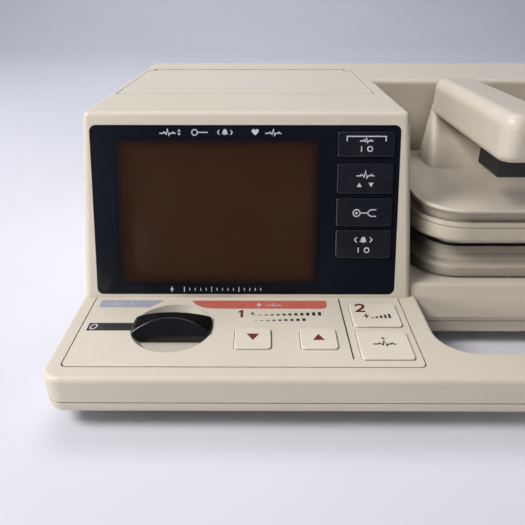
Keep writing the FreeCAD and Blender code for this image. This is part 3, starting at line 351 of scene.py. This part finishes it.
SLOT_MATERIALS = {
    "case_plastic": moulded("case_plastic", CASE, CASE_AGED),
    # Painted shade: the paddles' wide, dark occlusion darkening stands for the deep shade between
    # the paddles, their docks and the tower.
    "paddle_plastic": moulded("paddle_plastic", tone(CASE, 0.90), tone(CASE_AGED, 0.90),
                              roughness=0.36, grain=1900.0, grain_depth=0.03 * MM,
                              reach=14.0 * MM, shade_and_dirt_tone=0.20, cover=(0.6, 0.9)),
    "dish_plastic": satin("dish_plastic", tone(CASE, 0.74), 0.42, 0.05),
    # The frame's near-black base leans blue; part of that blue is a painted reflection of the pale
    # daylight.
    "bezel_gloss": glossy("bezel_gloss", (0.0050, 0.0068, 0.0115), (0.06, 0.07, 0.09)),
    "screen_tint": tinted_pane("screen_tint"),
    "tube_glass": phosphor_glass("tube_glass"),
    "key_dark": glossy("key_dark", (0.0095, 0.0115, 0.017), (0.08, 0.08, 0.09), 0.24, 0.0),
    "panel_film": satin("panel_film", (0.655, 0.600, 0.500), 0.44, 0.04),
    "key_light": satin("key_light", (0.700, 0.640, 0.540), 0.40, 0.04),
    "knob_gloss": glossy("knob_gloss", (0.0035, 0.0035, 0.0045), (0.07, 0.07, 0.07), 0.16, 0.0),
    "trigger_black": satin("trigger_black", (0.012, 0.012, 0.012), 0.40, 0.2),
    "stainless": metal("stainless", (0.60, 0.60, 0.59), 0.26, (60.0, 1.0, 60.0)),
    "plated_steel": metal("plated_steel", (0.62, 0.62, 0.60), 0.24),
    "sheet_metal": metal("sheet_metal", (0.66, 0.67, 0.67), 0.36, (1.0, 40.0, 40.0)),
    "can_metal": metal("can_metal", (0.58, 0.59, 0.60), 0.30, (1.0, 30.0, 30.0)),
    "core_steel": metal("core_steel", (0.10, 0.10, 0.105), 0.45, (60.0, 60.0, 1.0)),
    "copper_wire": wound_wire("copper_wire", COPPER, 220.0),
    "board_green": circuit_board("board_green", (0.018, 0.105, 0.045), COPPER),
    "black_part": satin("black_part", (0.020, 0.020, 0.022), 0.5, 0.2),
    "rubber_black": rubber("rubber_black", (0.018, 0.018, 0.018)),
    "gear_plastic": satin("gear_plastic", (0.74, 0.72, 0.66), 0.35, 0.05),
    "roll_paper": paper("roll_paper"),
    "battery_case": satin("battery_case", (0.045, 0.045, 0.048), 0.5, 0.2),
}
INKS = {
    "ink_white": ink("ink_white", (0.62, 0.64, 0.68), (0.38, 0.39, 0.43)),
    "ink_black": ink("ink_black", (0.016, 0.016, 0.018), (0.05, 0.047, 0.043)),
    "ink_maroon": ink("ink_maroon", (0.115, 0.010, 0.012), (0.20, 0.05, 0.045)),
    "ink_red": ink("ink_red", (0.520, 0.105, 0.070), (0.56, 0.22, 0.17)),
    "ink_blue": ink("ink_blue", (0.330, 0.350, 0.440), (0.45, 0.45, 0.47)),
}


def dress_cad_nodes():
    """Gives every CAD node its slot's material; the docks have one of their own with painted
    shade: a darker copy of the case colour and near-black occlusion darkening in their gaps.
    """
    # Painted shade: the case colour darkened to 0.72 and deep occlusion darkening stand for the
    # tower's shadow over the docks.
    docks = moulded("dock_plastic_painted_shade", tone(CASE, 0.72), tone(CASE_AGED, 0.72),
                    reach=20.0 * MM, shade_and_dirt_tone=0.08, cover=(0.85, 1.0))
    for entry in RECORD["subparts"]:
        piece = NODES[entry["node"]]
        painted_shade_dock = entry["node"].startswith("paddle_dock")
        piece.data.materials.clear()
        piece.data.materials.append(docks if painted_shade_dock else SLOT_MATERIALS[entry["material_slot"]])


# ----------------------------------------------------------------- flat marks
class Plane:
    """A flat surface of the object: origin, right, up and outward directions."""

    def __init__(self, origin, right, up):
        self.origin = origin
        self.right = right
        self.up = up
        self.out = right.cross(up)

    def at(self, x, y, height=0.0):
        return self.origin + (self.right * x + self.up * y + self.out * height) * MM


class Marks:
    """Printed marks of one colour on one plane, gathered into one mesh."""

    def __init__(self, plane, raised=0.05, sunk=0.03):
        self.plane = plane
        self.raised = raised
        self.sunk = sunk
        self.mesh = bmesh.new()

    def solid(self, rings):
        """A thin slab whose top is the quad strip or polygon in rings."""
        top = [self.mesh.verts.new(self.plane.at(x, y, self.raised)) for x, y in rings]
        low = [self.mesh.verts.new(self.plane.at(x, y, -self.sunk)) for x, y in rings]
        return top, low

    def fill(self, points):
        """A filled outline."""
        area = sum(a[0] * b[1] - b[0] * a[1] for a, b in zip(points, points[1:] + points[:1]))
        if area < 0:
            points = points[::-1]
        top, low = self.solid(points)
        self.mesh.faces.new(top)
        self.mesh.faces.new(low[::-1])
        for i in range(len(points)):
            j = (i + 1) % len(points)
            self.mesh.faces.new((top[i], low[i], low[j], top[j]))

    def line(self, points, width, closed=False):
        """A stroke of even width with mitred corners."""
        pts = [Vector((x, y)) for x, y in points]
        count = len(pts)
        left = []
        right = []
        for i, p in enumerate(pts):
            before = pts[i - 1] if (i > 0 or closed) else None
            after = pts[(i + 1) % count] if (i < count - 1 or closed) else None
            a = (p - before).normalized() if before is not None else (after - p).normalized()
            b = (after - p).normalized() if after is not None else a
            along = (a + b).normalized()
            side = Vector((-along.y, along.x))
            reach = width / 2 / max(along.dot(b), 0.45)
            left.append(tuple(p + side * reach))
            right.append(tuple(p - side * reach))
        lt, ll = self.solid(left)
        rt, rl = self.solid(right)
        for i in range(count if closed else count - 1):
            j = (i + 1) % count
            self.mesh.faces.new((rt[i], rt[j], lt[j], lt[i]))
            self.mesh.faces.new((rl[j], rl[i], ll[i], ll[j]))
            self.mesh.faces.new((lt[i], lt[j], ll[j], ll[i]))
            self.mesh.faces.new((rt[j], rt[i], rl[i], rl[j]))
        if not closed:
            self.mesh.faces.new((lt[0], ll[0], rl[0], rt[0]))
            self.mesh.faces.new((rt[-1], rl[-1], ll[-1], lt[-1]))

    def done(self, name, body, color):
        """Turns the gathered marks into one piece that rides on a body."""
        data = bpy.data.meshes.new(name)
        bmesh.ops.recalc_face_normals(self.mesh, faces=self.mesh.faces)
        self.mesh.to_mesh(data)
        self.mesh.free()
        piece = bpy.data.objects.new(name, data)
        bpy.context.scene.collection.objects.link(piece)
        data.materials.append(INKS[color])
        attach(piece, body)
        return piece


def shifted(points, x, y, scale=1.0, slant=0.0):
    """Points scaled, leaned over and moved to a place."""
    return [(x + px * scale + py * scale * slant, y + py * scale) for px, py in points]


def ring(radius, count):
    """A circle about the origin, as count points."""
    points = []
    for i in range(count):
        angle = 2 * math.pi * i / count
        points.append((radius * math.cos(angle), radius * math.sin(angle)))
    return points


# Pictograms are drawn about their own centre, one unit tall.
PULSE = [(-1.3, -0.15), (-0.75, -0.15), (-0.55, 0.05), (-0.35, -0.15), (-0.2, -0.3),
         (0.0, 0.5), (0.2, -0.5), (0.35, -0.15), (0.7, -0.15), (0.85, 0.05), (1.0, -0.15),
         (1.3, -0.15)]
BOLT = [(0.12, 0.55), (-0.32, -0.06), (-0.03, -0.06), (-0.14, -0.55), (0.32, 0.10), (0.03, 0.10)]
BELL = [(-0.5, -0.32), (-0.36, -0.18), (-0.32, 0.12), (-0.18, 0.36), (0.0, 0.44), (0.18, 0.36),
        (0.32, 0.12), (0.36, -0.18), (0.5, -0.32)]
CLAPPER = [(-0.12, -0.38), (0.0, -0.5), (0.12, -0.38)]
ARROW = [(-0.5, -0.42), (0.5, -0.42), (0.0, 0.42)]
ONE = [(0.02, -0.5), (0.22, -0.5), (0.22, 0.5), (0.06, 0.5), (-0.14, 0.30), (-0.14, 0.12),
       (0.02, 0.24)]
TWO = [(-0.28, 0.24), (-0.2, 0.38), (0.0, 0.44), (0.2, 0.38), (0.26, 0.2), (0.16, 0.0),
       (-0.26, -0.42), (0.3, -0.42)]


def heart():
    """The heart curve, one unit wide."""
    count = 22
    points = []
    for i in range(count):
        t = 2 * math.pi * i / count
        x = 16 * math.sin(t) ** 3
        y = 13 * math.cos(t) - 5 * math.cos(2 * t) - 2 * math.cos(3 * t) - math.cos(4 * t)
        points.append((x / 32, y / 32 + 0.08))
    return points


def on_off(marks, x, y, size, width):
    """Power pictogram: a bar and a ring."""
    marks.line([(x - size * 0.9, y - size / 2), (x - size * 0.9, y + size / 2)], width)
    marks.line(shifted(ring(size * 0.45, 18), x + size * 0.7, y), width, closed=True)


def bars(marks, x, y, size, count, pitch, width):
    """A row of rising bars."""
    for i in range(count):
        left = x + (i - count / 2) * pitch
        top = y - size / 2 + size * (i + 1) / count
        marks.fill([(left, y - size / 2), (left + width, y - size / 2), (left + width, top),
                    (left, top)])


# ------------------------------------------------------- planes of the object
def vertices(node):
    """Where the node's mesh points are, in the object's frame."""
    return [v.co for v in NODES[node].data.vertices]


INWARD = Vector(JOINTS["recorder_key_press"]["axis"]).normalized()
OUTWARD = -INWARD
RIGHT = Vector((1, 0, 0))
REAR = Vector((0, 1, 0))
FACE_UP = OUTWARD.cross(RIGHT)


def face_plane(node):
    """The front of a node on the tilted face; x from its middle, y from its lower edge."""
    points = vertices(node)
    front = max(p.dot(OUTWARD) for p in points)
    low = min(p.dot(FACE_UP) for p in points)
    xs = [p.x for p in points]
    mid = (min(xs) + max(xs)) / 2
    origin = OUTWARD * front + FACE_UP * low + RIGHT * mid
    return Plane(origin, RIGHT, FACE_UP)


def top_plane(node):
    """The level top of a node, measured from the middle of its box."""
    low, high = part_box(node)
    middle = (low + high) / 2
    return Plane(Vector((middle.x, middle.y, high.z)), RIGHT, REAR)


def print_bezel():
    """Pictograms along the top of the screen frame and a scale along its foot."""
    stroke = 0.55
    top_row = 89.4
    scale_row = 2.6
    white = Marks(face_plane("display_bezel"))
    # Trace size: a pulse with arrows up and down.
    white.line(shifted(PULSE, -42.0, top_row, 3.4), stroke)
    white.fill(shifted(ARROW, -35.8, top_row + 1.1, 1.6))
    white.fill([(-36.6, top_row - 0.4), (-35.0, top_row - 0.4), (-35.8, top_row - 1.75)])
    # Lead: a round electrode with its wire.
    white.line(shifted(ring(1.5, 18), -27.4, top_row), stroke, closed=True)
    white.line([(-25.9, top_row), (-20.2, top_row)], stroke)
    # Alarm: a bell between two sound marks.
    white.fill(shifted(BELL, -11.0, top_row + 0.2, 3.6))
    white.fill(shifted(CLAPPER, -11.0, top_row + 0.2, 3.6))
    white.line([(-8.0, top_row - 1.2), (-7.0, top_row), (-8.0, top_row + 1.2)], stroke)
    white.line([(-14.0, top_row - 1.2), (-15.0, top_row), (-14.0, top_row + 1.2)], stroke)
    # Heart rate: a heart and a pulse.
    white.fill(shifted(heart(), 5.4, top_row, 3.9))
    white.line(shifted(PULSE, 15.2, top_row, 3.4), stroke)
    # Energy: a bolt and a scale with a long tick at every fifth place.
    white.fill(shifted(BOLT, -42.0, scale_row, 3.6))
    for i in range(15):
        x = -35.0 + i * 3.1
        tall = 1.4 if i % 5 == 0 else 0.8
        white.line([(x, scale_row - tall), (x, scale_row + tall)], 0.45)
    white.done("print_display_icons", "case", "ink_white")


def print_soft_keys():
    """One pictogram on each key beside the screen."""
    stroke = 0.6

    def mark(node, draw):
        marks = Marks(face_plane(node))
        draw(marks)
        marks.done("print_" + node, node.replace("key_", "") + "_key", "ink_white")

    def recorder(m):
        m.line([(-10.5, 9.0), (-10.5, 11.6), (10.5, 11.6), (10.5, 9.0)], stroke)
        m.line(shifted(PULSE, 0.0, 9.6, 2.8), stroke)
        on_off(m, 0.0, 5.0, 2.9, stroke)

    def ecg_size(m):
        m.line(shifted(PULSE, 0.0, 11.0, 3.8), stroke)
        m.fill(shifted(ARROW, -3.2, 5.6, 2.8))
        m.fill([(1.8, 6.7), (4.6, 6.7), (3.2, 4.4)])

    def lead(m):
        m.line(shifted(ring(1.9, 20), -4.2, 8.2), stroke, closed=True)
        m.fill(shifted(ring(0.7, 12), -4.2, 8.2))
        m.line([(-2.3, 8.2), (1.6, 8.2), (3.4, 10.0), (6.6, 10.0)], stroke)
        m.line([(1.9, 7.9), (3.4, 6.4), (6.6, 6.4)], stroke)

    def alarm(m):
        m.fill(shifted(BELL, 0.0, 11.2, 4.0))
        m.fill(shifted(CLAPPER, 0.0, 11.2, 4.0))
        m.line([(3.6, 9.8), (4.9, 11.2), (3.6, 12.6)], stroke)
        m.line([(-3.6, 9.8), (-4.9, 11.2), (-3.6, 12.6)], stroke)
        on_off(m, 0.0, 5.4, 2.9, stroke)

    mark("key_recorder", recorder)
    mark("key_ecg_size", ecg_size)
    mark("key_lead", lead)
    mark("key_alarm", alarm)


def print_panel():
    """The printed plate: two bars, the off strip, a divider, two scales and a step number."""
    low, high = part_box("panel_overlay")
    # x from the left edge of the plate, y forwards from its rear edge.
    plane = Plane(Vector((low.x, high.y, high.z)), RIGHT, REAR)
    knob_y = (Vector(JOINTS["selector_turn"]["pos_m"]).y - high.y) / MM
    off_left = 3.2
    off_right = 26.3
    off_half = 3.4
    bar_height = -7.2
    over_ink = 0.09
    blue = Marks(plane)
    blue.fill([(3.6, -10.0), (31.6, -10.0), (34.4, -7.4), (38.6, -2.6), (3.6, -2.6)])
    blue.done("print_monitor_bar", "case", "ink_blue")
    red = Marks(plane)
    red.fill([(54.1, -2.8), (56.8, -6.8), (61.0, -9.8), (67.0, -11.0), (126.8, -11.0),
              (128.8, -10.2), (129.6, -8.4), (129.6, -2.8)])
    red.done("print_defib_bar", "case", "ink_red")
    white = Marks(plane, raised=over_ink)
    white.line(shifted(PULSE, 12.0, -6.3, 4.0), 0.5)
    white.line([(21.0, -8.0), (21.0, -4.6)], 0.5)
    white.fill(shifted(BOLT, 92.0, bar_height, 5.4))
    white.line(shifted(PULSE, 100.0, bar_height, 3.4), 0.5)
    white.done("print_bar_icons", "case", "ink_white")
    black = Marks(plane)
    black.fill([(off_left, knob_y - off_half), (off_right, knob_y - off_half),
                (off_right, knob_y + off_half), (off_left, knob_y + off_half)])
    black.line([(136.9, -1.0), (137.5, -54.6)], 0.7)
    bars(black, 108.0, -16.0, 3.4, 12, 3.2, 1.7)
    black.fill(shifted(BOLT, 88.6, -15.8, 3.9))
    bars(black, 104.0, -21.6, 2.4, 9, 3.2, 1.7)
    black.done("print_panel_black", "case", "ink_black")
    zero = Marks(plane, raised=over_ink)
    oval = [(x * 0.72, y) for x, y in ring(2.1, 22)]
    zero.line(shifted(oval, 6.2, knob_y, 1.0, 0.2), 0.75, closed=True)
    zero.done("print_off_zero", "case", "ink_white")
    step = Marks(plane)
    step.fill(shifted(ONE, 82.0, -16.0, 7.0))
    step.done("print_step_one", "case", "ink_maroon")


def print_panel_keys():
    """Arrows on the energy keys, a step number and bars on charge, a pulse on sync."""

    def mark(node, color, draw):
        marks = Marks(top_plane(node))
        draw(marks)
        body = node.replace("key_", "") + "_key"
        marks.done("print_" + node + "_" + color, body, color)

    def down(m):
        m.fill(shifted([(x, -y) for x, y in ARROW], 0.0, 0.8, 6.4))

    def up(m):
        m.fill(shifted(ARROW, 0.0, 0.8, 6.0))

    def step_two(m):
        m.line(shifted(TWO, -7.0, 6.0, 8.0), 1.5)

    def charge(m):
        m.fill(shifted(BOLT, -4.8, -1.8, 5.0))
        bars(m, 3.4, -1.8, 4.0, 5, 2.3, 1.3)

    def sync(m):
        m.line(shifted(PULSE, 0.0, 0.8, 4.4), 0.8)
        m.fill(shifted(ARROW, 0.0, 5.2, 2.0))

    mark("key_energy_down", "ink_maroon", down)
    mark("key_energy_up", "ink_maroon", up)
    mark("key_charge", "ink_maroon", step_two)
    mark("key_charge", "ink_black", charge)
    mark("key_sync", "ink_black", sync)


# ------------------------------------------------------------------ the studio
FLOOR_FRONT = -5.0
FLOOR_DEPTH = 2.6
FLOOR_HALF_WIDTH = 4.5
BACKDROP_BEND = 1.2
BACKDROP_TOP = 3.4
BEND_STEPS = 12


def add_stage():
    """Pale floor that curves up into a backdrop behind the object."""
    bend_start = FLOOR_DEPTH - BACKDROP_BEND
    profile = [(FLOOR_FRONT, 0.0), (-0.8, 0.0), (0.8, 0.0), (bend_start, 0.0)]
    for i in range(1, BEND_STEPS + 1):
        angle = math.pi / 2 * i / BEND_STEPS
        profile.append((bend_start + BACKDROP_BEND * math.sin(angle),
                        BACKDROP_BEND - BACKDROP_BEND * math.cos(angle)))
    profile.append((FLOOR_DEPTH, BACKDROP_TOP))
    mesh = bmesh.new()
    rows = []
    for x in (-FLOOR_HALF_WIDTH, FLOOR_HALF_WIDTH):
        rows.append([mesh.verts.new((x, y, z)) for y, z in profile])
    for i in range(len(profile) - 1):
        mesh.faces.new((rows[0][i], rows[1][i], rows[1][i + 1], rows[0][i + 1]))
    data = bpy.data.meshes.new("floor")
    mesh.to_mesh(data)
    mesh.free()
    for polygon in data.polygons:
        polygon.use_smooth = True
    floor = bpy.data.objects.new("floor", data)
    bpy.context.scene.collection.objects.link(floor)
    s = Surface("pale_table", roughness=0.55, specular=0.3)
    cloud = s.remap(s.noise(3.0, 3.0), 0.3, 0.7)
    s.color(s.mix(cloud, (0.655, 0.665, 0.735), (0.69, 0.70, 0.755)))
    s.rough(s.remap(s.noise(20.0, 3.0), 0.3, 0.7, 0.5, 0.62))
    data.materials.append(s.material)


def area_light(name, place, target, size, power, color):
    """A rectangular lamp at a place, facing a target."""
    data = bpy.data.lights.new(name, "AREA")
    data.shape = "RECTANGLE"
    data.size, data.size_y = size
    data.energy = power
    data.color = color
    lamp = bpy.data.objects.new(name, data)
    lamp.location = place
    lamp.rotation_euler = (Vector(target) - Vector(place)).to_track_quat("-Z", "Y").to_euler()
    bpy.context.scene.collection.objects.link(lamp)


WORLD_DARK = (0.055, 0.055, 0.065, 1.0)
WORLD_PALE = (0.74, 0.80, 0.96, 1.0)
WORLD_STRENGTH = 0.37
# Share of the daylight that still comes from the right.
RIGHT_SHARE = 0.25


def add_world():
    """Pale daylight, with a dark room in front of the screen and less light on the right."""
    world = bpy.data.worlds.new("studio")
    world.use_nodes = True
    tree = world.node_tree
    background = tree.nodes["Background"]
    direction = tree.nodes.new("ShaderNodeTexCoord").outputs["Generated"]
    split = tree.nodes.new("ShaderNodeSeparateXYZ")
    tree.links.new(direction, split.inputs[0])

    def ramp(axis, low, high):
        """0 to 1 as the direction's part along an axis goes from low to high."""
        node = tree.nodes.new("ShaderNodeMapRange")
        node.interpolation_type = "SMOOTHSTEP"
        node.inputs["From Min"].default_value = low
        node.inputs["From Max"].default_value = high
        tree.links.new(split.outputs[axis], node.inputs["Value"])
        return node.outputs["Result"]

    def combine(operation, first, second):
        node = tree.nodes.new("ShaderNodeMath")
        node.operation = operation
        tree.links.new(first, node.inputs[0])
        if isinstance(second, float):
            node.inputs[1].default_value = second
        else:
            tree.links.new(second, node.inputs[1])
        return node.outputs[0]

    bright = ramp("Y", -0.70, 0.0)
    for other in (ramp("X", -0.20, -0.50), ramp("Z", 0.45, 0.80)):
        bright = combine("MAXIMUM", bright, other)
    left_part = combine("MULTIPLY", ramp("X", 0.55, -0.05), 1.0 - RIGHT_SHARE)
    bright = combine("MULTIPLY", bright, combine("ADD", left_part, RIGHT_SHARE))
    mix = tree.nodes.new("ShaderNodeMix")
    mix.data_type = "RGBA"
    mix.inputs[6].default_value = WORLD_DARK
    mix.inputs[7].default_value = WORLD_PALE
    tree.links.new(bright, mix.inputs[0])
    tree.links.new(mix.outputs[2], background.inputs["Color"])
    background.inputs["Strength"].default_value = WORLD_STRENGTH
    bpy.context.scene.world = world


def add_lights():
    """A window high on the left, a low fill from the left front, and the backdrop's light."""
    area_light("window", (-1.06, -0.34, 1.12), (-0.08, -0.06, 0.08), (0.55, 0.55), 20.0,
               (1.0, 0.960, 0.928))
    area_light("low_fill", (-1.00, -1.32, 0.18), (-0.16, -0.14, 0.02), (0.50, 0.22), 6.0,
               (1.0, 0.955, 0.90))
    area_light("backdrop", (-0.3, 1.0, 1.9), (-0.2, 1.3, 0.0), (1.6, 1.0), 18.0,
               (0.95, 0.96, 1.0))


CAMERA_PLACE = (-0.0928, -0.3353, 0.1855)
CAMERA_DOWN = 27.95
CAMERA_TURN = 0.22
CAMERA_LENS = 35.42
CAMERA_SENSOR = 36.0


def add_camera():
    """In front of the screen and above it, looking down; angles in degrees."""
    data = bpy.data.cameras.new("camera")
    data.sensor_width = CAMERA_SENSOR
    data.lens = CAMERA_LENS
    data.clip_start = 0.01
    camera = bpy.data.objects.new("camera", data)
    camera.location = CAMERA_PLACE
    camera.rotation_euler = (math.radians(90.0 - CAMERA_DOWN), 0.0, math.radians(CAMERA_TURN))
    bpy.context.scene.collection.objects.link(camera)
    bpy.context.scene.camera = camera


dress_cad_nodes()
print_bezel()
print_soft_keys()
print_panel()
print_panel_keys()
add_stage()
add_world()
add_lights()
add_camera()
bpy.context.scene.view_settings.view_transform = "Standard"
